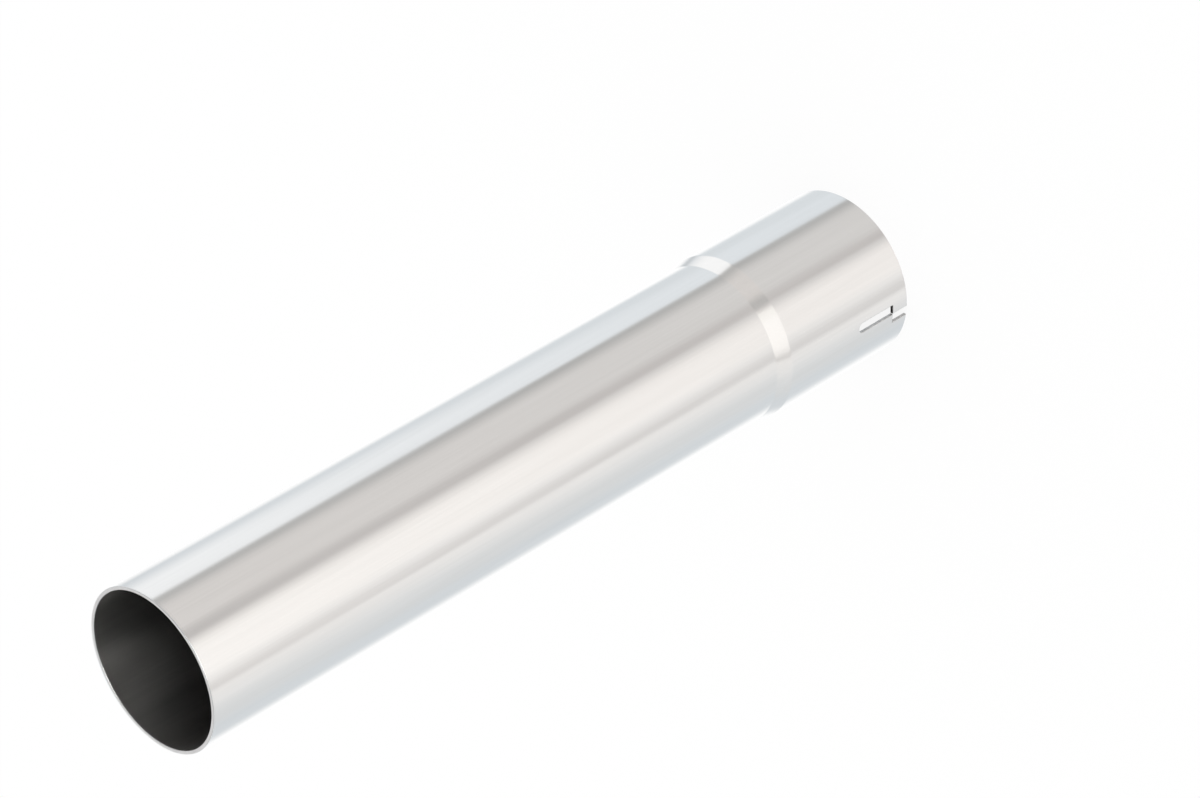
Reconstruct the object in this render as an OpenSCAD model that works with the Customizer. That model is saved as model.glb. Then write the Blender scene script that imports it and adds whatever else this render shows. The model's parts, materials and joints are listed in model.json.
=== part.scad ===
// Exhaust extension pipe: one length of thin stainless tube with a slotted slip-joint bell swaged on one end.
// Lengths are in millimetres. The pipe stands on its bell: the origin is the centre of the bell's mouth, and
// +Z runs up the pipe's axis to the plain end. The slot that faces the front is at -Y.

/* [Tube] */
// Outside diameter of the tube
tube_od = 76.2; // [50.8:0.1:101.6]
// Wall of the tube, and of the bell that is formed from it
wall = 1.65; // [1.2:0.05:2.5]
// Length of straight tube above the swage
straight_l = 330.2; // [100:0.1:1000]

/* [Bell] */
// Clearance all round between the bell's bore and the pipe that slides into it
slip_gap = 0.15; // [0.05:0.05:0.4]
// Length of the bell's parallel wall
bell_l = 75; // [50:1:120]
// Height of the swage, from the end of the bell's parallel wall to the start of the straight tube
swage_l = 9; // [6:0.5:20]
// Inside radius of the swage's two bends
bend_r = 4; // [2:0.5:8]

/* [Slots] */
// Number of stepped slots, evenly spaced round the bell
slot_count = 2; // [1:1:4]
// Width of both runs of a slot
slot_w = 4.76; // [3:0.01:6]
// Length of a slot's outer run, up from the mouth
outer_run_l = 9.5; // [5:0.5:15]
// Length of a whole slot, from the mouth to the round end of its inner run
slot_l = 31.75; // [20:0.25:50]
// How far a slot's two runs lap round the bell
run_lap = 0.3; // [0.1:0.1:2]

/* [Edges] */
// Chamfer that takes the burr off the edges of both mouths
edge_break = 0.25; // [0.1:0.05:0.5]

/* [Hidden] */
$fn = 144;

tube_r = tube_od / 2;
bell_r = tube_r + slip_gap + wall;
full_l = bell_l + swage_l + straight_l;

// The swage is an S of two equal bends with a straight cone between them, all measured on the wall's middle.
// Its slope follows from its height, from how far the wall steps in, and from the bends' radius.
wall_step = bell_r - tube_r;
bend_mid_r = bend_r + wall / 2;
bell_bend_at = [bell_r - wall / 2 - bend_mid_r, bell_l];
tube_bend_at = [tube_r - wall / 2 + bend_mid_r, bell_l + swage_l];
bends_apart = norm(tube_bend_at - bell_bend_at);
swage_slope = asin(2 * bend_mid_r / bends_apart) - atan2(2 * bend_mid_r - wall_step, swage_l);

// Number of short cones that make up the surface of each bend
bend_steps = 6;

// How far a cutter reaches past the metal that it cuts
overcut = 2;

// Points along one surface of a bend, from one angle about the bend's centre to another
function bend_points(centre, radius, from, to) = [
    for (i = [0 : bend_steps])
        let (angle = from + (to - from) * i / bend_steps)
            centre + radius * [cos(angle), sin(angle)]
];

// Section of the wall, with x out from the axis and y up it.
// It runs up the outside from the bell's mouth to the plain end, then down the inside, which follows the
// outside at the wall's thickness through both bends.
module wall_section() {
    bell_inner_r = bell_r - wall;
    tube_inner_r = tube_r - wall;
    wide_r = bend_mid_r + wall / 2;
    tight_r = bend_mid_r - wall / 2;
    polygon(concat(
        [[bell_r - edge_break, 0], [bell_r, edge_break]],
        bend_points(bell_bend_at, wide_r, 0, swage_slope),
        bend_points(tube_bend_at, tight_r, 180 + swage_slope, 180),
        [[tube_r, full_l - edge_break], [tube_r - edge_break, full_l]],
        [[tube_inner_r + edge_break, full_l], [tube_inner_r, full_l - edge_break]],
        bend_points(tube_bend_at, wide_r, 180, 180 + swage_slope),
        bend_points(bell_bend_at, tight_r, swage_slope, 0),
        [[bell_inner_r, edge_break], [bell_inner_r + edge_break, 0]]
    ));
}

// Outline of a stepped slot, with x round the bell and y up from the mouth.
// The outer run is left of the centre line and the inner run right of it, and they meet over the lap.
module slot_outline() {
    inner_run_l = slot_l - slot_w / 2 - outer_run_l;
    translate([run_lap / 2 - slot_w, -overcut]) square([slot_w, outer_run_l + overcut]);
    translate([-run_lap / 2, outer_run_l]) {
        square([slot_w, inner_run_l]);
        translate([slot_w / 2, inner_run_l]) circle(d = slot_w);
    }
}

// Cutter for one slot, which goes through the front wall of the bell only
module slot_cutter() {
    translate([0, -bell_r / 2, 0])
        rotate([90, 0, 0])
            linear_extrude(height = bell_r / 2 + overcut) slot_outline();
}

// The pipe: the wall turned round the axis, with the slots cut in its bell
module pipe() {
    color([0.80, 0.79, 0.78])
        difference() {
            rotate_extrude() wall_section();
            for (i = [0 : slot_count - 1]) {
                rotate([0, 0, i * 360 / slot_count]) slot_cutter();
            }
        }
}

pipe();
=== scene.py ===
# %% [markdown]
# # Exhaust extension pipe
# This pipe is one length of thin stainless tube, about 76 mm across. One end is plain. The other end is
# swaged out to a bell that slides over the next pipe, and two stepped slots let the bell close on that
# pipe when it is squeezed. The pipe stands on its bell, with +Z up its axis. It could lie down, but a
# tube rolls, so it stands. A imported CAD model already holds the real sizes. Loading it first means that
# nothing here has to be fitted later.

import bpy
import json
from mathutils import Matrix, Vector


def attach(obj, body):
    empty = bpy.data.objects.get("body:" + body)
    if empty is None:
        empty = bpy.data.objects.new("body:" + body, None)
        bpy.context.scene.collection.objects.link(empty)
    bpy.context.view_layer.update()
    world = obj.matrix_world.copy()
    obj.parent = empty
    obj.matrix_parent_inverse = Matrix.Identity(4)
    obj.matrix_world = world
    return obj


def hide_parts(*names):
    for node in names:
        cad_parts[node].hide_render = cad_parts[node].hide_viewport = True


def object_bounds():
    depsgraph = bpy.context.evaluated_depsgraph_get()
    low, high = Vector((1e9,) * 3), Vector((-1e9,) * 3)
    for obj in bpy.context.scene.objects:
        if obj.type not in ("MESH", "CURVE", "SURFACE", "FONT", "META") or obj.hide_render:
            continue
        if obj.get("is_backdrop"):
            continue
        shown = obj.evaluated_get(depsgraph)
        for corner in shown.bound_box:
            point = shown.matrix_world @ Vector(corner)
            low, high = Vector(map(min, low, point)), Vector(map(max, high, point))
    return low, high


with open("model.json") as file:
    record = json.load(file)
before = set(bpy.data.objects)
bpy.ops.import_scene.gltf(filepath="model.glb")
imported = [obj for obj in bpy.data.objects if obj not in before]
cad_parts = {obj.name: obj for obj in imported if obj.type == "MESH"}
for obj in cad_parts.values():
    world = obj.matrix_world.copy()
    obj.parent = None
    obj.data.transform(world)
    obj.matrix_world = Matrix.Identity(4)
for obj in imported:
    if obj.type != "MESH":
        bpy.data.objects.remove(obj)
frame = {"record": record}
cad_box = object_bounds()
print("CAD box, in metres:", [round(side, 4) for side in cad_box[1] - cad_box[0]])

# %% [markdown]
# ## Sizes
# The model's mounts say how the pipe fits other pipes, so they already hold its radii and the lengths of
# its two straight stretches. Those could be typed in again, but a second copy of a size goes wrong as
# soon as one changes. Only what the mounts don't give is typed in: the bends of the swage here, and the
# slots and the broken edges where they are made.

# %% Read the sizes from the mounts
MM = 0.001

fits = {mount["name"]: mount["dims"] for mount in frame["record"]["mounts"]}
TUBE_R = fits["plain_end"]["r_mm"] * MM
WALL = TUBE_R - fits["tube_bore"]["r_mm"] * MM
TUBE_L = fits["plain_end"]["length_mm"] * MM
BELL_R = fits["clamp_seat"]["r_mm"] * MM
BELL_L = fits["bell_socket"]["length_mm"] * MM
FULL_L = cad_box[1].z - cad_box[0].z
SWAGE_L = FULL_L - BELL_L - TUBE_L
BEND_R = 4 * MM
print(f"tube {2 * TUBE_R / MM:.1f} mm across, wall {WALL / MM:.2f} mm, swage {SWAGE_L / MM:.1f} mm long")

# %% [markdown]
# ## Camera
# The photograph looks at the pipe from above, equally along all three axes, with a long lens and the
# plain end at the lower left. The real picture has the pipe lying on nothing, at a slant. Here the pipe
# stands, so the camera is rolled instead: its up direction leans towards +X, which lays the pipe across
# the picture in the same way. Three perpendicular directions make the camera's rotation, which is clearer
# than three Euler angles.

# %% Place the camera
import bpy
from mathutils import Matrix, Vector

LENS_MM = 146
SENSOR_MM = 36
CAMERA_DISTANCE = 2.1326
AIM = Vector((3.3, 3.3, 152.9)) * MM
LOOK = Vector((-1, 1, -1))
ROLLED_UP = Vector((1, 0, 0))

scene = bpy.context.scene
look = LOOK.normalized()
side = look.cross(ROLLED_UP).normalized()
up = side.cross(look)
rotation = Matrix((side, up, -look)).transposed().to_4x4()

camera = bpy.data.objects.new("camera", bpy.data.cameras.new("camera"))
camera.data.lens = LENS_MM
camera.data.sensor_width = SENSOR_MM
camera.matrix_world = Matrix.Translation(AIM - look * CAMERA_DISTANCE) @ rotation
scene.collection.objects.link(camera)
scene.camera = camera
print("camera at", [round(c, 3) for c in camera.matrix_world.translation])

# %% [markdown]
# ## Helpers for node trees
# Every finish, the floor and the studio are node trees. Writing each node out line by line would work
# too, but it hides what is being built. So one helper adds a node and fills its sockets, by a value or by
# a link. Two more use it for the Math and Mix nodes, and the last two make and place a node group with
# named sockets.

# %% Write the node helpers
def add(tree, kind, sockets=None, **settings):
    """A new node. Each socket, given by name or number, takes a value or the socket that feeds it."""
    node = tree.nodes.new(kind)
    for name, value in settings.items():
        setattr(node, name, value)
    for name, value in (sockets or {}).items():
        if isinstance(value, bpy.types.NodeSocket):
            tree.links.new(value, node.inputs[name])
        else:
            node.inputs[name].default_value = value
    return node


def maths(tree, operation, *values):
    """The result of a Math node, whose inputs are numbers or sockets."""
    return add(tree, "ShaderNodeMath", dict(enumerate(values)), operation=operation).outputs[0]


def mix_colour(tree, share, below, above, blend="MIX"):
    """One colour over another, by a share from 0 to 1. Sockets 6 and 7 are the Mix node's two colours."""
    node = add(tree, "ShaderNodeMix", {0: share, 6: below, 7: above}, data_type="RGBA", blend_type=blend)
    return node.outputs[2]


def new_group(name, inputs, outputs):
    """An empty node group. Inputs map a name to its default value, and outputs map one to its type."""
    group = bpy.data.node_groups.new(name, "ShaderNodeTree")
    for label, value in inputs.items():
        socket = group.interface.new_socket(label, in_out="INPUT", socket_type="NodeSocketFloat")
        socket.default_value = value
    for label, kind in outputs.items():
        group.interface.new_socket(label, in_out="OUTPUT", socket_type=kind)
    print(f"group {name}: {', '.join(inputs)} in, {', '.join(outputs)} out")
    return group, group.nodes.new("NodeGroupInput").outputs, group.nodes.new("NodeGroupOutput").inputs


def use_group(tree, group, **values):
    """A placed group. Its sockets are named by keywords, with _ for a space and small letters."""
    sockets = {name.replace("_", " ").title(): value for name, value in values.items()}
    return add(tree, "ShaderNodeGroup", sockets, node_tree=group).outputs


# %% [markdown]
# ## The studio
# Polished metal has almost no colour of its own. What it shows is the room, so the room matters as much
# as the metal. A product picture of bright tube is taken inside a white tent, with a few grey and dark
# cards that draw lines along it. Lamps and real cards would work too, but cards that are part of the
# world are seen by the metal only, throw no shadows and add no noise. A card here is a range of compass
# directions round the pipe, with a soft start and a soft end. Because the cards stand upright, each draws
# one straight streak along the tube, from whatever side it is seen.

# %% Make the card group
card_group, card_in, card_out = new_group(
    "studio card",
    {"Compass": 0, "Start": 0, "Start Soft": 10, "End": 30, "End Soft": 10},
    {"Mask": "NodeSocketFloat"},
)


def past_edge(tree, compass, edge, soft):
    """0 before an edge of a card and 1 past it, over a soft range of degrees."""
    beyond = maths(tree, "WRAP", maths(tree, "SUBTRACT", compass, edge), 180, -180)
    half = maths(tree, "MULTIPLY", soft, 0.5)
    spread = {"Value": beyond, "From Min": maths(tree, "MULTIPLY", half, -1), "From Max": half}
    return add(tree, "ShaderNodeMapRange", spread, interpolation_type="SMOOTHSTEP").outputs["Result"]


begun = past_edge(card_group, card_in["Compass"], card_in["Start"], card_in["Start Soft"])
ended = past_edge(card_group, card_in["Compass"], card_in["End"], card_in["End Soft"])
both = maths(card_group, "MULTIPLY", begun, maths(card_group, "SUBTRACT", 1, ended))
card_group.links.new(both, card_out["Mask"])

# %% [markdown]
# The cards are listed as a photographer would note them: what each is, its two edges, and how bright it
# is at the pipe's own height and down at its foot. An edge is a compass direction, how soft it is, and
# how far it leans on its way down. A card of one colour gives it once. Degrees count from +X towards -Y,
# which is the front. The tent is a little brighter than white paper, because even polished steel returns
# only four fifths of the light.

# %% Set out the cards
TENT = (1.12, 1.13, 1.135)
CARDS = [
    ("left panel", (-97.5, 30, 0), (-34, 6, -30), (1.15, 1.16, 1.17), (0.865, 0.92, 0.965)),
    ("cool shade", (-101.5, 14, 0), (-79, 38, 40), (0.745, 0.79, 0.83), (0.80, 0.85, 0.885)),
    ("key's skirt", (30, 4, -6), (60, 8, 0), (1.08, 1.05, 1.02), (0.96, 0.93, 0.91)),
    ("warm wall", (-36.5, 5, -26), (39.5, 13, 0), (0.82, 0.79, 0.77), (0.79, 0.78, 0.77)),
    ("dark strip", (-37, 5, -26), (-25, 22, -18), (0.51, 0.51, 0.505)),
    ("grey strip", (22, 14, -6), (34, 5, -6), (0.65, 0.625, 0.615)),
    ("key panel", (46, 16, 0), (91, 30, -30), (1.22, 1.195, 1.165), (1.06, 1.03, 1.005)),
    ("thin strip", (92, 26, -14), (106.5, 3, 12), (0.89, 0.86, 0.84), (0.80, 0.785, 0.775)),
    ("warm gap", (106.5, 3, 12), (150, 40, 0), (1.05, 1.03, 1.01)),
    ("blue wall", (130, 76, 0), (190, 26, 0), (0.775, 0.82, 0.855)),
    ("wall's grey edge", (141, 44, 0), (154, 24, 0), (0.80, 0.815, 0.82)),
]
print(len(CARDS), "cards to stand round the pipe")

world = bpy.data.worlds.new("studio")
world.use_nodes = True
scene.world = world
sky = world.node_tree
sky.nodes.clear()
looking = add(sky, "ShaderNodeTexCoord").outputs["Generated"]
direction = add(sky, "ShaderNodeSeparateXYZ", {0: looking}).outputs
towards_front = maths(sky, "MULTIPLY", direction["Y"], -1)
compass = maths(sky, "DEGREES", maths(sky, "ARCTAN2", towards_front, direction["X"]))

# %% [markdown]
# A height in this room is the Z of the direction that a ray looks in: 0 on the horizon and -1 straight
# down. The middle of the cards is at -0.5, where an edge's lean counts from. Between the next two heights
# a card's waist colour turns into its foot colour.

# %% Hang the cards
MIDDLE_Z = -0.5
WAIST_Z = -0.45
FOOT_Z = -0.62


def climb(low, high):
    """0 where the direction's Z is at one value or short of it, and 1 at the other."""
    span = {"Value": direction["Z"], "From Min": low, "From Max": high}
    return add(sky, "ShaderNodeMapRange", span).outputs[0]


below_middle = maths(sky, "SUBTRACT", MIDDLE_Z, direction["Z"])
footing = climb(WAIST_Z, FOOT_Z)


def leaning(edge):
    """The compass direction of a card's edge, at the height that is looked at."""
    at_middle, _, lean = edge
    return maths(sky, "MULTIPLY_ADD", below_middle, lean, at_middle) if lean else at_middle


def hang(cards, behind):
    """The colour of the room once these cards hang in front of a colour."""
    for _, start, end, *colours in cards:
        edges = {"start": leaning(start), "start_soft": start[1], "end": leaning(end), "end_soft": end[1]}
        mask = use_group(sky, card_group, compass=compass, **edges)["Mask"]
        waist, foot = (*colours[0], 1), (*colours[-1], 1)
        behind = mix_colour(sky, mask, behind, mix_colour(sky, footing, waist, foot))
    print("hung:", ", ".join(card[0] for card in cards))
    return behind


lower_room = hang(CARDS, (*TENT, 1))

# %% [markdown]
# The swage's cone leans back, so it sees the cards higher up than the straight tube does. The cards'
# heads are a second list, which fades in above the height that the tube sees. Each is narrow and darker
# than its card, apart from one that brings the key panel's edge forward. They give the cone's bright
# patch its crisp, dark ends.

# %% Add the cards' heads
HEADS_Z = (-0.492, -0.47)
HEADS = [
    ("shade's head", (-111.5, 8, 0), (-90, 9, 0), (0.62, 0.655, 0.68)),
    ("grey strip's head", (22, 14, 0), (33.5, 4, 0), (0.565, 0.555, 0.545)),
    ("key's shoulder", (39.5, 5, 0), (50, 8, 0), (1.17, 1.15, 1.11)),
    ("thin strip's head", (99.5, 7, 0), (103.5, 3, 0), (0.69, 0.675, 0.66)),
]

lower_room = mix_colour(sky, climb(*HEADS_Z), lower_room, hang(HEADS, lower_room))

# %% [markdown]
# The bore sees next to nothing of those cards. Nearly all its light falls in at the open mouth from just
# above the horizon, so that part of the room is set out on its own. One bright lamp panel on the key side
# draws a soft grey streak down the bore, and grey cloth all round under a dark ceiling keeps the rest of
# it dark. Black cloth would make the bore darker still, but the swage looks up into it when the pipe is
# seen level, and would be a black ring. Behind the pipe a pale card hangs high up, because the cut rim of
# the plain mouth faces that way. Right on the horizon the tent is a shade darker, so the pipe keeps an
# outline when it is looked at level. Each layer of this upper room fades in between two heights, and the
# rim's card hangs in front of them all.

# %% Hang the lamp and the cloth
GREY_CLOTH = (0.40, 0.40, 0.40)
LAMP = (7.0, 6.88, 6.72)
CEILING = (0.25, 0.25, 0.255)
RIM_CARD = (0.75, 0.75, 0.75)
HORIZON_SHADE = (0.92, 0.92, 0.92)
LAMP_PANEL = ("lamp panel", (48, 24, 0), (78, 24, 0), LAMP)
RIM_CARD_EDGES = {"start": 190, "start_soft": 20, "end": 260, "end_soft": 20}
SHADE_Z = (-0.1, 0)
CLOTH_Z = (0.08, 0.18)
CEILING_Z = (0.45, 0.6)
RIM_CARD_Z = (0.3, 0.42)

shaded_room = mix_colour(sky, 1, lower_room, (*HORIZON_SHADE, 1), "MULTIPLY")
lit_cloth = hang([LAMP_PANEL], (*GREY_CLOTH, 1))
rim_card = use_group(sky, card_group, compass=compass, **RIM_CARD_EDGES)["Mask"]
rim_card = maths(sky, "MULTIPLY", rim_card, climb(*RIM_CARD_Z))
room = mix_colour(sky, climb(*SHADE_Z), lower_room, shaded_room)
room = mix_colour(sky, climb(*CLOTH_Z), room, lit_cloth)
room = mix_colour(sky, climb(*CEILING_Z), room, (*CEILING, 1))
room = mix_colour(sky, rim_card, room, (*RIM_CARD, 1))

# %% [markdown]
# Camera rays see plain white, so the background is white without any more light falling on the pipe. Rays
# from matt surfaces see a plain even light. The world isn't sampled like a lamp, because a sample would
# be taken with the camera's plain white and not with the cards. Metal then finds the cards by its own
# reflections, which is also quicker.

# %% Light the world
WHITE = (1, 1, 1, 1)

world.cycles.sampling_method = "NONE"
rays = add(sky, "ShaderNodeLightPath").outputs
shown_in_metal = maths(sky, "MAXIMUM", rays["Is Glossy Ray"], rays["Is Transmission Ray"])
seen = mix_colour(sky, shown_in_metal, WHITE, room)
background = add(sky, "ShaderNodeBackground", {"Color": seen, "Strength": 1})
add(sky, "ShaderNodeOutputWorld", {"Surface": background.outputs[0]})

scene.view_settings.view_transform = "Standard"
print(len(sky.nodes), "nodes make the studio")

# %% [markdown]
# ## The floor
# The pipe stands on a plain white sweep. Most of its white is only for the camera, and the rest is a matt
# surface that the pipe shades, so a soft shadow stays where the bell meets it. The metal doesn't see the
# floor: its lower half of the room is the tent and its cards, as on a table of clear glass.

# %% Lay the floor
FLOOR_R = 4
FLOOR_SIDES = 96
MATT_SHARE = 0.09

bpy.ops.mesh.primitive_circle_add(
    vertices=FLOOR_SIDES, radius=FLOOR_R, fill_type="NGON", location=(0, 0, 0)
)
floor = bpy.context.object
floor.name = "floor"
floor.visible_glossy = False
floor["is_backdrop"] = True

floor_finish = bpy.data.materials.new("white sweep")
floor_finish.use_nodes = True
tree = floor_finish.node_tree
tree.nodes.clear()
rays = add(tree, "ShaderNodeLightPath").outputs
glow_share = maths(tree, "MULTIPLY", rays["Is Camera Ray"], 1 - MATT_SHARE)
glow = add(tree, "ShaderNodeEmission", {"Color": WHITE, "Strength": glow_share})
matt = add(tree, "ShaderNodeBsdfDiffuse", {"Color": (MATT_SHARE, MATT_SHARE, MATT_SHARE, 1)})
both = add(tree, "ShaderNodeAddShader", {0: glow.outputs[0], 1: matt.outputs[0]})
add(tree, "ShaderNodeOutputMaterial", {"Surface": both.outputs[0]})
floor.data.materials.append(floor_finish)
print(f"floor {2 * FLOOR_R} m across, {MATT_SHARE:.0%} of its white is matt")

# %% [markdown]
# ## The wall's path
# The wall has one thickness everywhere, through the swage too, because the bell is the same tube pressed
# outwards. A Screw modifier on a profile would turn the wall, but the slots would then have to be cut by
# a Boolean, which leaves ragged faces that a mirror finish shows at once. So the mesh is laid out face by
# face. First comes the path up the middle of the wall: straight, an arc, a short cone, an arc back, and
# straight again. The cone is the straight line that touches both arcs, and its slope follows from that.
# Each station on the path has a radius, a height and an angle, which says how far the wall leans back
# there.

# %% Lay out the path up the wall
from math import asin, atan2, cos, degrees, hypot, pi, radians, sin

BEND_STEPS = 8
TUBE_STEPS = 16

bend_mid = BEND_R + WALL / 2
bell_mid = BELL_R - WALL / 2
tube_mid = TUBE_R - WALL / 2
bends_out = tube_mid - bell_mid + 2 * bend_mid
slope = asin(2 * bend_mid / hypot(bends_out, SWAGE_L)) - atan2(bends_out, SWAGE_L)


def swage_stations():
    """Stations through the two bends. The cone between them is straight, so it needs none of its own."""
    found = []
    angles = [slope * step / BEND_STEPS for step in range(BEND_STEPS + 1)]
    for angle in angles:
        radius = bell_mid - bend_mid * (1 - cos(angle))
        found.append((radius, BELL_L + bend_mid * sin(angle), angle))
    for angle in reversed(angles):
        radius = tube_mid + bend_mid * (1 - cos(angle))
        found.append((radius, BELL_L + SWAGE_L - bend_mid * sin(angle), angle))
    return found


print(f"the cone between the swage's bends slopes at {degrees(slope):.1f} degrees")

# %% [markdown]
# ## The stepped slot
# Each slot is two saw cuts side by side. The outer run starts at the mouth, the inner run carries on from
# it one width over, and the two just meet at a corner, so the slot closes like a latch and leaks little
# gas. Only its four sizes are typed in, and the places of the cuts follow from them.

# %% Measure the slot
SLOT_W = 4.76 * MM
OUTER_RUN_L = 9.5 * MM
SLOT_L = 31.75 * MM
RUN_LAP = 0.3 * MM

outer_left = RUN_LAP / 2 - SLOT_W
outer_right = RUN_LAP / 2
inner_left = -RUN_LAP / 2
inner_right = SLOT_W - RUN_LAP / 2
round_at = (inner_left + SLOT_W / 2, SLOT_L - SLOT_W / 2)
print(f"both runs together are {(inner_right - outer_left) / MM:.2f} mm wide")

# %% [markdown]
# The whole edge of the bell, mouth and slots together, is one closed line. It is listed as segments, and
# each one keeps the two directions that face into the metal at its ends, so straight cuts stay flat and
# round ones round. Points typed in one by one would do too, but they wouldn't follow a change of size.

# %% Draw the slot's edge
ROUND_STEPS = 20
SLOT_STEP = 1.6 * MM


def straight_cut(start, end):
    """Short segments along a straight cut, with the metal on the left of the way they run."""
    length = hypot(end[0] - start[0], end[1] - start[1])
    inward = (-(end[1] - start[1]) / length, (end[0] - start[0]) / length)
    count = max(1, round(length / SLOT_STEP))
    points = [tuple(a + (b - a) * i / count for a, b in zip(start, end)) for i in range(count + 1)]
    return [(first, second, inward, inward) for first, second in zip(points, points[1:])]


def round_cut():
    """Segments over the round end of the inner run, from its left side to its right."""
    found = []
    for i in range(ROUND_STEPS):
        ends = [pi * (1 - (i + k) / ROUND_STEPS) for k in (0, 1)]
        inward = [(cos(angle), sin(angle)) for angle in ends]
        points = [tuple(c + SLOT_W / 2 * n for c, n in zip(round_at, way)) for way in inward]
        found.append((*points, *inward))
    return found


def slot_edge():
    """All the segments of one slot's edge, from the mouth on its left to the mouth on its right."""
    corners_up = [
        (outer_left, 0),
        (outer_left, OUTER_RUN_L),
        (inner_left, OUTER_RUN_L),
        (inner_left, round_at[1]),
    ]
    corners_down = [
        (inner_right, round_at[1]),
        (inner_right, OUTER_RUN_L),
        (outer_right, OUTER_RUN_L),
        (outer_right, 0),
    ]
    rising = [cut for ends in zip(corners_up, corners_up[1:]) for cut in straight_cut(*ends)]
    falling = [cut for ends in zip(corners_down, corners_down[1:]) for cut in straight_cut(*ends)]
    return rising + round_cut() + falling


print(len(slot_edge()), "segments make the edge of one slot")

# %% [markdown]
# ## Columns and rows
# The wall is a grid of columns round the axis and rows up it. Round each slot a window of the grid is
# left out, and a patch of triangles fills it, which can follow the slot's corners and its round end. On a
# mirror finish such a patch would show as dents if its shading came from its triangles. So each corner of
# each face is given the true direction of the surface, worked out from its place on the wall, and the
# patch disappears.

# %% Choose the columns and rows
SLOT_COUNT = 2
COLUMNS = 288
WINDOW_COLUMNS = 14
WINDOW_H = 45 * MM
WINDOW_ROWS = 24
EDGE_R = 0.25 * MM

column_turn = 2 * pi / COLUMNS
window_turn = WINDOW_COLUMNS * column_turn
window_z = [EDGE_R + (WINDOW_H - EDGE_R) * row / WINDOW_ROWS for row in range(WINDOW_ROWS + 1)]
print(f"{COLUMNS} columns, each {column_turn * BELL_R / MM:.2f} mm wide on the bell")

# %% [markdown]
# ## Faces with their true directions
# A face is stored as its corner points and the surface's direction at each. Corners at the same place are
# merged as they come in, to a tenth of a micrometre, which joins the grid, the patches and the edges into
# one closed wall.

# %% Write the face store
OUTSIDE, INSIDE, RIM, SLOT_CUT = 0, 1, 2, 3
MERGE_STEPS_PER_METRE = 1e7


class Wall:
    """The growing mesh: points, faces, one direction for each corner, and the finish of each face."""

    def __init__(self):
        self.index_of = {}
        self.points = []
        self.faces = []
        self.directions = []
        self.finishes = []

    def face(self, corners, finish):
        """Adds a face of (point, direction) corners, unless merging leaves it fewer than three."""
        indices = []
        for point, _ in corners:
            key = tuple(round(c * MERGE_STEPS_PER_METRE) for c in point)
            if key not in self.index_of:
                self.index_of[key] = len(self.points)
                self.points.append(point)
            indices.append(self.index_of[key])
        if len(set(indices)) < 3:
            return
        self.faces.append(indices)
        self.directions.extend(way for _, way in corners)
        self.finishes.append(finish)


wall = Wall()

# %% [markdown]
# ## The two skins
# The outside and the inside of the wall use the same columns. Near a slot there is one catch: a saw's cut
# has parallel sides, so the inside skin must turn a little further than the outside to stay in line with
# the cut. That extra turn fades out towards the window's edge, where the ordinary grid begins.

# %% Place points on the skins
STRAIGHT_TURN = radians(8)


def share_of(value, none_at, all_at):
    """0 at one value, 1 at the other, and in proportion between them."""
    return min(1, max(0, (value - none_at) / (all_at - none_at)))


def behind(turn, z, radius):
    """The turn on another radius that lies straight behind a turn on the bell's outside, near a slot."""
    near = share_of(abs(turn), window_turn, STRAIGHT_TURN) * share_of(z, WINDOW_H, SLOT_L)
    return turn + near * (asin(BELL_R * sin(turn) / radius) - turn) if near > 0 else turn


def turned(radius, height, turn, out, lift):
    """A point at a turn from -Y towards +X, and a direction there by its parts outwards and upwards."""
    point = (radius * sin(turn), -radius * cos(turn), height)
    return point, (out * sin(turn), -out * cos(turn), lift)


def on_skin(skin, station, turn, about=0):
    """A point on one skin at a station of the wall's path, turned about the axis by a slot's own turn."""
    mid_radius, height, angle = station
    out = 1 if skin == OUTSIDE else -1
    radius = mid_radius + out * cos(angle) * WALL / 2
    z = height + out * sin(angle) * WALL / 2
    return turned(radius, z, about + behind(turn, z, radius), out * cos(angle), out * sin(angle))


side_turn = asin(inner_right / BELL_R)
extra_turn = behind(side_turn, 0, BELL_R - WALL) - side_turn
print(f"beside a slot the inside turns up to {degrees(extra_turn):.2f} degrees further")

# %% [markdown]
# The grid covers all of the wall but the slots' windows: the whole height above them, and the stretches
# of the bell between them. A straight stretch looks the same with few rows, so only the bends have many.

# %% Fill the grid
def add_skin_face(skin, corners):
    """Adds a face that runs anticlockwise on the outside, so the inside takes it the other way."""
    wall.face(corners if skin == OUTSIDE else corners[::-1], skin)


def add_grid(stations, turns, about=0):
    """Fills a grid of rows and columns on both skins."""
    for skin in (OUTSIDE, INSIDE):
        for low, high in zip(stations, stations[1:]):
            for left, right in zip(turns, turns[1:]):
                ends = [(low, left), (low, right), (high, right), (high, left)]
                add_skin_face(skin, [on_skin(skin, station, turn, about) for station, turn in ends])


def bell_station(z):
    """A station on the straight wall of the bell."""
    return bell_mid, z, 0


sector = 2 * pi / SLOT_COUNT
side_columns = COLUMNS // SLOT_COUNT - 2 * WINDOW_COLUMNS
side_turns = [window_turn + column_turn * i for i in range(side_columns + 1)]
all_turns = [column_turn * i for i in range(COLUMNS + 1)]

tube_z = [BELL_L + SWAGE_L + (TUBE_L - EDGE_R) * i / TUBE_STEPS for i in range(1, TUBE_STEPS + 1)]
upper_stations = [bell_station(WINDOW_H), bell_station((WINDOW_H + BELL_L) / 2), *swage_stations()]
upper_stations += [(tube_mid, z, 0) for z in tube_z]

add_grid(upper_stations, all_turns)
for slot in range(SLOT_COUNT):
    add_grid([bell_station(z) for z in window_z], side_turns, slot * sector)
print(len(wall.faces), "faces in the grid")

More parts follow.
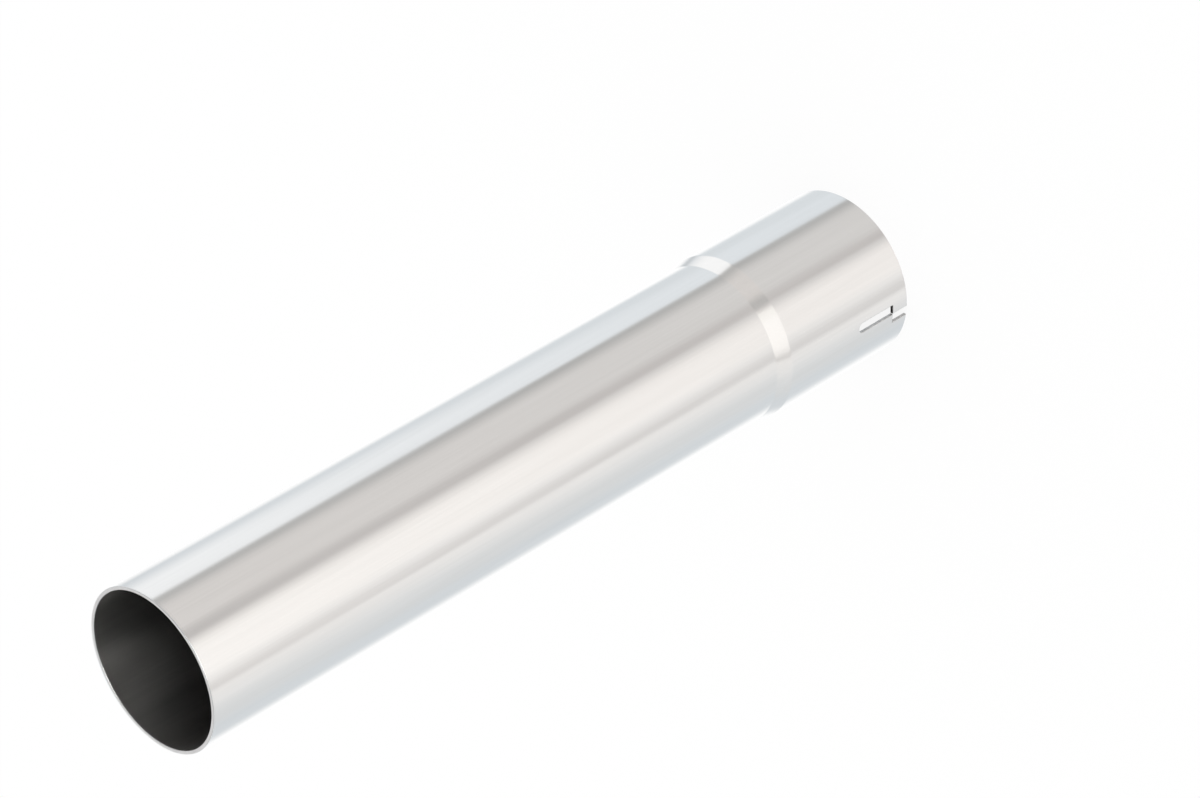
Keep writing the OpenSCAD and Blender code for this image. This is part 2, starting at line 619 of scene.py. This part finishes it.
# %% [markdown]
# ## The edges
# A saw leaves a sharp edge, and a quick pass with a deburring tool rounds it. That round is only a
# quarter of a millimetre, but it catches the light as a fine bright line, and without it the metal looks
# like paper. It takes room, so the skins stop short of the cut, on the edge line set back into the metal.
# At a corner both segments have to move by the same amount, so the corner moves along their mitre.

# %% Set an edge line back
def mitres(segments):
    """For each point of an open edge line, the direction in which it moves as the line is set back."""
    before = [segments[0][2]] + [segment[3] for segment in segments]
    after = [segment[2] for segment in segments] + [segments[-1][3]]
    found = []
    for a, b in zip(before, after):
        fit = 1 + a[0] * b[0] + a[1] * b[1]
        found.append(((a[0] + b[0]) / fit, (a[1] + b[1]) / fit))
    return found


def set_back(point, mitre, inset):
    """A point of the edge line, as (turn, height), moved into the metal."""
    turn, z = point
    return asin(sin(turn) + inset * mitre[0] / BELL_R) if mitre[0] else turn, z + inset * mitre[1]


# %% [markdown]
# A Bevel modifier would do for the mouths. At the slots' corners it would pull the patch's triangles
# about, so the round is laid along the edge line as strips, from the outside skin over the cut face to
# the inside skin. Its cross-section is a quarter turn on each skin with the flat of the cut between them.

# %% Write the strips along an edge
EDGE_STEPS = 3

quarter = [pi / 2 * step / EDGE_STEPS for step in range(EDGE_STEPS + 1)]
cross_section = [(1, angle) for angle in quarter] + [(-1, angle) for angle in quarter[::-1]]
print(len(cross_section) - 1, "strips go round an edge")


def edge_corner(point, mitre, inward, out, angle, skin_r, about):
    """A point of the rounded edge, at an angle round its cross-section, and the way that it faces."""
    turn, z = set_back(point, mitre, EDGE_R * (1 - sin(angle)))
    radius = skin_r[out] - out * EDGE_R * (1 - cos(angle))
    turn = about + behind(turn, z, radius)
    place, _ = turned(radius, z, turn, 0, 0)
    across, along = -inward[0] * sin(angle), -inward[1] * sin(angle)
    facing = out * cos(angle)
    way = (facing * sin(turn) + across * cos(turn), across * sin(turn) - facing * cos(turn), along)
    return place, way


def edge_finish(start, end):
    """A rim's finish where a segment runs level along either mouth, and a slot's finish elsewhere."""
    on_mouth = start[1] == end[1] and start[1] in (0, FULL_L)
    return RIM if on_mouth else SLOT_CUT


def add_edge(segments, outer_r, about=0):
    """Rounds and closes the wall along segments of (start, end, inward at start, inward at end)."""
    skin_r = {1: outer_r, -1: outer_r - WALL}
    moves = mitres(segments)
    for segment, start_move, end_move in zip(segments, moves, moves[1:]):
        start, end, start_in, end_in = segment
        finish = edge_finish(start, end)
        for near, far in zip(cross_section, cross_section[1:]):
            wall.face([
                edge_corner(start, start_move, start_in, *far, skin_r, about),
                edge_corner(end, end_move, end_in, *far, skin_r, about),
                edge_corner(end, end_move, end_in, *near, skin_r, about),
                edge_corner(start, start_move, start_in, *near, skin_r, about),
            ], finish)


# %% [markdown]
# The plain mouth is the simple case: one level line all the way round, with the metal below it.

# %% Close the plain mouth
ABOVE, BELOW = (0, 1), (0, -1)

plain_line = [
    ((right, FULL_L), (left, FULL_L), BELOW, BELOW)
    for left, right in zip(all_turns, all_turns[1:])
]
add_edge(plain_line, TUBE_R)
print(len(plain_line), "segments round the plain mouth")

# %% [markdown]
# The bell's edge line runs along the mouth, up one side of a slot, over its round end and down the other
# side. The mouth keeps the grid's own columns, apart from those that the slot has cut away.

# %% Close the bell's mouth and slots
NARROWEST = 0.3 * MM

window_turns = [column_turn * i for i in range(-WINDOW_COLUMNS, WINDOW_COLUMNS + 1)]
slot_start, slot_end = (asin(x / BELL_R) for x in (outer_left, outer_right))
gap = (EDGE_R + NARROWEST) / BELL_R
left_mouth = [turn for turn in window_turns if turn < slot_start - gap] + [slot_start]
right_mouth = [slot_end] + [turn for turn in window_turns if turn > slot_end + gap]


def mouth_line(turns):
    """Segments along the bell's mouth."""
    return [((left, 0), (right, 0), ABOVE, ABOVE) for left, right in zip(turns, turns[1:])]


slot_line = [
    ((asin(start[0] / BELL_R), start[1]), (asin(end[0] / BELL_R), end[1]), start_in, end_in)
    for start, end, start_in, end_in in slot_edge()
]
window_line = mouth_line(left_mouth) + slot_line + mouth_line(right_mouth)

for slot in range(SLOT_COUNT):
    add_edge(window_line, BELL_R, slot * sector)
    add_edge(mouth_line(side_turns), BELL_R, slot * sector)
print(len(wall.faces), "faces with the edges")

# %% [markdown]
# ## The patches round the slots
# Points of the grid inside a window help to fill it, but one too close to the slot would leave slivers.
# So a helper measures how far a point is from the slot's opening. The opening is two boxes and a round
# end, and the nearest of the three counts.

# %% Measure the room to the slot
def room_to_slot(x, z):
    """How far a point is from the slot's opening, and 0 inside it."""
    def from_box(left, right, low, high):
        return hypot(max(left - x, 0, x - right), max(low - z, 0, z - high))
    from_round = max(0, hypot(x - round_at[0], z - round_at[1]) - SLOT_W / 2)
    outer = from_box(outer_left, outer_right, 0, OUTER_RUN_L)
    inner = from_box(inner_left, inner_right, OUTER_RUN_L, round_at[1])
    return min(outer, inner, from_round)


window_corner = (BELL_R * sin(window_turn), WINDOW_H)
print(f"a window's corner is {room_to_slot(*window_corner) / MM:.1f} mm from the slot")

# %% [markdown]
# The window's outline is the set-back edge line below and the grid's own points on the other three sides.
# Grid points inside it that keep clear of the slot are scattered in, so that no triangle spans far enough
# round the bell to look flat. Blender's Delaunay triangulation then joins them all, and says which of the
# given points each corner came from.

# %% Fill the windows
from mathutils.geometry import delaunay_2d_cdt

CLEAR_OF_SLOT = 0.6 * MM
KEEP_INSIDE = 1
JOIN_WITHIN_MM = 1e-6

outline = [set_back(segment[0], move, EDGE_R) for segment, move in zip(window_line, mitres(window_line))]
outline += [(window_turns[-1], z) for z in window_z]
outline += [(turn, WINDOW_H) for turn in window_turns[-2::-1]]
outline += [(window_turns[0], z) for z in window_z[-2:0:-1]]
scattered = [
    (turn, z)
    for turn in window_turns[1:-1]
    for z in window_z[1:-1]
    if room_to_slot(BELL_R * sin(turn), z) > CLEAR_OF_SLOT
]
window_points = outline + scattered
flat_points = [Vector((BELL_R * sin(turn) / MM, z / MM)) for turn, z in window_points]
outline_edges = [(i, (i + 1) % len(outline)) for i in range(len(outline))]
_, _, triangles, origins, *_ = delaunay_2d_cdt(
    flat_points, outline_edges, [], KEEP_INSIDE, JOIN_WITHIN_MM
)

for slot in range(SLOT_COUNT):
    for triangle in triangles:
        places = [window_points[origins[corner][0]] for corner in triangle]
        for skin in (OUTSIDE, INSIDE):
            add_skin_face(skin, [on_skin(skin, bell_station(z), turn, slot * sector) for turn, z in places])
print(len(triangles), "triangles in each window's skin")

# %% [markdown]
# The stored faces become one mesh. Smoothing by angle would guess how the surface lies at each corner, so
# the stored directions are set as custom normals instead. In a closed wall each edge belongs to two
# faces, and a count of the others shows whether anything is left open.

# %% Make the mesh
mesh = bpy.data.meshes.new("pipe_wall")
mesh.from_pydata(wall.points, [], wall.faces)
mesh.polygons.foreach_set("material_index", wall.finishes)
mesh.shade_smooth()
mesh.normals_split_custom_set([Vector(way).normalized() for way in wall.directions])
pipe = bpy.data.objects.new("pipe_wall", mesh)
scene.collection.objects.link(pipe)

uses = {}
for polygon in mesh.polygons:
    for key in polygon.edge_keys:
        uses[key] = uses.get(key, 0) + 1
open_edges = sum(count != 2 for count in uses.values())
print(f"{len(mesh.polygons)} faces, {open_edges} open edges")

# %% [markdown]
# ## Effects that the finishes share
# Tube is drawn through a die and then polished along its length, which leaves lines far finer than a
# hair. Here they are noise stretched along Z. Taking it from the object's own coordinates, and not from
# a turn round the axis, leaves no seam. The group gives the lines as a height for a Bump and as a mask
# for colour and roughness.

# %% Make the draw lines
def stretched_noise(tree, round_scale, along_scale, detail):
    """Noise in the pipe's own coordinates, with one scale across the axis and one along it."""
    scale = add(tree, "ShaderNodeCombineXYZ", {0: round_scale, 1: round_scale, 2: along_scale}).outputs[0]
    place = add(tree, "ShaderNodeTexCoord").outputs["Object"]
    spread = add(tree, "ShaderNodeVectorMath", {0: place, 1: scale}, operation="MULTIPLY").outputs[0]
    return add(tree, "ShaderNodeTexNoise", {"Vector": spread, "Scale": 1, "Detail": detail}).outputs[0]


BROAD_FINENESS = 0.14
STEEPNESS = 3
HALF = 0.5

lines_group, lines_in, lines_out = new_group(
    "draw lines",
    {"Fineness": 1600, "Along": 12, "Contrast": 1},
    {"Height": "NodeSocketFloat", "Mask": "NodeSocketFloat"},
)
fine = stretched_noise(lines_group, lines_in["Fineness"], lines_in["Along"], detail=3)
broad_fineness = maths(lines_group, "MULTIPLY", lines_in["Fineness"], BROAD_FINENESS)
broad = stretched_noise(lines_group, broad_fineness, lines_in["Along"], detail=2)
average = maths(lines_group, "MULTIPLY", maths(lines_group, "ADD", fine, broad), HALF)
centred = maths(lines_group, "SUBTRACT", average, HALF)
steepness = maths(lines_group, "MULTIPLY", lines_in["Contrast"], STEEPNESS)
stretched = maths(lines_group, "MULTIPLY_ADD", centred, steepness, HALF)
mask = add(lines_group, "ShaderNodeClamp", {"Value": stretched}).outputs[0]
lines_group.links.new(fine, lines_out["Height"])
lines_group.links.new(mask, lines_out["Mask"])

# %% [markdown]
# Polishing is never quite even, and hands leave a film, so gloss drifts a little from place to place. In
# the bore the same drift is much stronger. This group makes soft cloudy patches, and each finish sets
# their size and contrast for itself.

# %% Make the cloudy patches
cloud_group, cloud_in, cloud_out = new_group(
    "cloudy patches",
    {"Fineness": 30, "Along": 12, "Low": 0.35, "High": 0.65},
    {"Mask": "NodeSocketFloat"},
)
cloud = stretched_noise(cloud_group, cloud_in["Fineness"], cloud_in["Along"], detail=4)
cloud_range = {"Value": cloud, "From Min": cloud_in["Low"], "From Max": cloud_in["High"]}
shaped = add(cloud_group, "ShaderNodeMapRange", cloud_range, interpolation_type="SMOOTHSTEP")
cloud_group.links.new(shaped.outputs["Result"], cloud_out["Mask"])

# %% [markdown]
# Both mouths are rubbed by the deburring tool and by every pipe that is tried on them. This group is 1
# at either mouth and fades to 0 within a given reach.

# %% Make the mouth wear
RUB_REACH = 1.5 * MM

wear_group, wear_in, wear_out = new_group(
    "mouth wear",
    {"Reach": RUB_REACH, "Length": FULL_L},
    {"Mask": "NodeSocketFloat"},
)
place = add(wear_group, "ShaderNodeTexCoord").outputs["Object"]
height = add(wear_group, "ShaderNodeSeparateXYZ", {0: place}).outputs["Z"]
from_top = maths(wear_group, "SUBTRACT", wear_in["Length"], height)
nearest = maths(wear_group, "MINIMUM", height, from_top)
wear_range = {"Value": nearest, "From Min": wear_in["Reach"], "From Max": 0, "To Min": 0, "To Max": 1}
faded = add(wear_group, "ShaderNodeMapRange", wear_range, interpolation_type="SMOOTHSTEP")
wear_group.links.new(faded.outputs["Result"], wear_out["Mask"])

# %% [markdown]
# ## Helpers for the finishes
# All four finishes are bare metal, made with a Principled BSDF, and all feed the same three sockets:
# colour, roughness and normal. Each could be written out in full, but the same lines would then stand
# here four times. The helpers make such a material, link its sockets, turn a mask into a value between
# two others, and turn a height into a normal.

# %% Write the finish helpers
def new_finish(name):
    """A new metal material, with only a Principled BSDF and its output."""
    material = bpy.data.materials.new(name)
    material.use_nodes = True
    shader = material.node_tree.nodes["Principled BSDF"]
    shader.inputs["Metallic"].default_value = 1
    print("finish:", name)
    return material, material.node_tree, shader


def feed(tree, shader, **sockets):
    """Links sockets of a shader, named by keywords with _ for a space."""
    for name, socket in sockets.items():
        tree.links.new(socket, shader.inputs[name.replace("_", " ").title()])


def between(tree, mask, low, high):
    """A value that goes from low to high with a mask."""
    return maths(tree, "MULTIPLY_ADD", mask, high - low, low)


def bumped(tree, height, depth):
    """The normal of a surface whose height varies by a depth in metres."""
    return add(tree, "ShaderNodeBump", {"Height": height, "Distance": depth, "Strength": 1}).outputs[0]


# %% [markdown]
# ## Polished outside
# The outside is bright polished stainless: pale, a trace warm, and smooth enough to mirror the studio's
# cards with soft edges. The lines and patches only nudge its colour and gloss, because the real one looks
# almost perfect.

# %% Make the polished steel
STEEL_DARK = (0.785, 0.776, 0.766, 1)
STEEL_LIGHT = (0.815, 0.806, 0.797, 1)
STEEL_RUBBED = (0.70, 0.695, 0.69, 1)
STEEL_RUB = 0.15
STEEL_ROUGHNESS = (0.135, 0.165)
RUBBED_ROUGHNESS = 0.04
STEEL_LINE_DEPTH = 0.0015 * MM

polished, tree, shader = new_finish("polished_steel")
lines = use_group(tree, lines_group, fineness=1600, along=12, contrast=1)
clouds = use_group(tree, cloud_group, fineness=30, along=9, low=0.35, high=0.65)
wear = use_group(tree, wear_group, reach=RUB_REACH, length=FULL_L)
steel = mix_colour(tree, lines["Mask"], STEEL_DARK, STEEL_LIGHT)
steel = mix_colour(tree, maths(tree, "MULTIPLY", wear["Mask"], STEEL_RUB), steel, STEEL_RUBBED)
clean_roughness = between(tree, clouds["Mask"], *STEEL_ROUGHNESS)
added_roughness = maths(tree, "MULTIPLY", wear["Mask"], RUBBED_ROUGHNESS)
feed(
    tree,
    shader,
    base_color=steel,
    roughness=maths(tree, "ADD", clean_roughness, added_roughness),
    normal=bumped(tree, lines["Height"], STEEL_LINE_DEPTH),
)

# %% [markdown]
# ## Dark bore
# Inside, nobody polishes the tube. It keeps a dull dark skin from the mill, which swallows most of the
# light that gets in, so the open end reads almost black with a grey sheen on the side that faces the
# light.

# %% Make the bore's finish
SKIN_DARK = (0.385, 0.38, 0.372, 1)
SKIN_LIGHT = (0.455, 0.45, 0.44, 1)
SKIN_LINE = (0.31, 0.306, 0.302, 1)
SKIN_LINE_SHARE = 0.3
SKIN_RUBBED = (0.6, 0.595, 0.59, 1)
SKIN_RUB = 0.4
SKIN_ROUGHNESS = (0.40, 0.48)
SKIN_LINE_DEPTH = 0.004 * MM

bore, tree, shader = new_finish("dark_bore")
lines = use_group(tree, lines_group, fineness=900, along=8, contrast=1.2)
clouds = use_group(tree, cloud_group, fineness=55, along=16, low=0.35, high=0.7)
wear = use_group(tree, wear_group, reach=RUB_REACH, length=FULL_L)
skin = mix_colour(tree, clouds["Mask"], SKIN_DARK, SKIN_LIGHT)
skin = mix_colour(tree, maths(tree, "MULTIPLY", lines["Mask"], SKIN_LINE_SHARE), skin, SKIN_LINE)
skin = mix_colour(tree, maths(tree, "MULTIPLY", wear["Mask"], SKIN_RUB), skin, SKIN_RUBBED)
feed(
    tree,
    shader,
    base_color=skin,
    roughness=between(tree, clouds["Mask"], *SKIN_ROUGHNESS),
    normal=bumped(tree, lines["Height"], SKIN_LINE_DEPTH),
)

# %% [markdown]
# ## Cut edges
# Both rims are faced and filed, so they are fresh bright metal with a satin grain. Nobody files the slots:
# their cut faces are painted a darker grey, as painted shade for the narrow cuts, which also makes the
# slots easier to see. The two finishes differ only in colour and gloss, so one function makes both.

# %% Make the cut metal
GRAIN_DEPTH = 0.002 * MM


def cut_metal(name, dark, light, smoothest, roughest):
    """A cut finish, whose fine grain goes from a dark to a light colour and whose gloss drifts."""
    material, tree, shader = new_finish(name)
    lines = use_group(tree, lines_group, fineness=2500, along=700, contrast=1)
    clouds = use_group(tree, cloud_group, fineness=120, along=120, low=0.35, high=0.65)
    feed(
        tree,
        shader,
        base_color=mix_colour(tree, lines["Mask"], (*dark, 1), (*light, 1)),
        roughness=between(tree, clouds["Mask"], smoothest, roughest),
        normal=bumped(tree, lines["Height"], GRAIN_DEPTH),
    )
    return material


RIM_DARK = (0.86, 0.855, 0.85)
RIM_LIGHT = (0.95, 0.945, 0.94)
# The slots' darker grey is painted shade for the narrow cuts, not a colour of the metal.
SLOT_SHADE_DARK = (0.50, 0.495, 0.49)
SLOT_SHADE_LIGHT = (0.65, 0.645, 0.64)

filed_rim = cut_metal("filed_rim", RIM_DARK, RIM_LIGHT, smoothest=0.30, roughest=0.38)
shaded_slot_cut = cut_metal("shaded_slot_cut", SLOT_SHADE_DARK, SLOT_SHADE_LIGHT, smoothest=0.36, roughest=0.46)

# %% [markdown]
# ## On the frame
# The mesh takes its four finishes in the order in which its faces count them: outside, inside, rim and
# slot. The wall then stands for the CAD node and rides on the one body.

# %% Hang the wall on the frame
for finish in (polished, bore, filed_rim, shaded_slot_cut):
    mesh.materials.append(finish)
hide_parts("pipe")
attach(pipe, "root")
print("finishes on the pipe:", [finish.name for finish in mesh.materials])

# %% [markdown]
# The wall has to fill the same box as the CAD model, or it would no longer fit the pipes next to it. Both
# boxes are printed side by side, where a difference is easy to see.

# %% Compare the two boxes
import json

new_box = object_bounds()
for before, after in zip(cad_box, new_box):
    print("box corner", [round(c / MM, 3) for c in before], "is now", [round(c / MM, 3) for c in after])
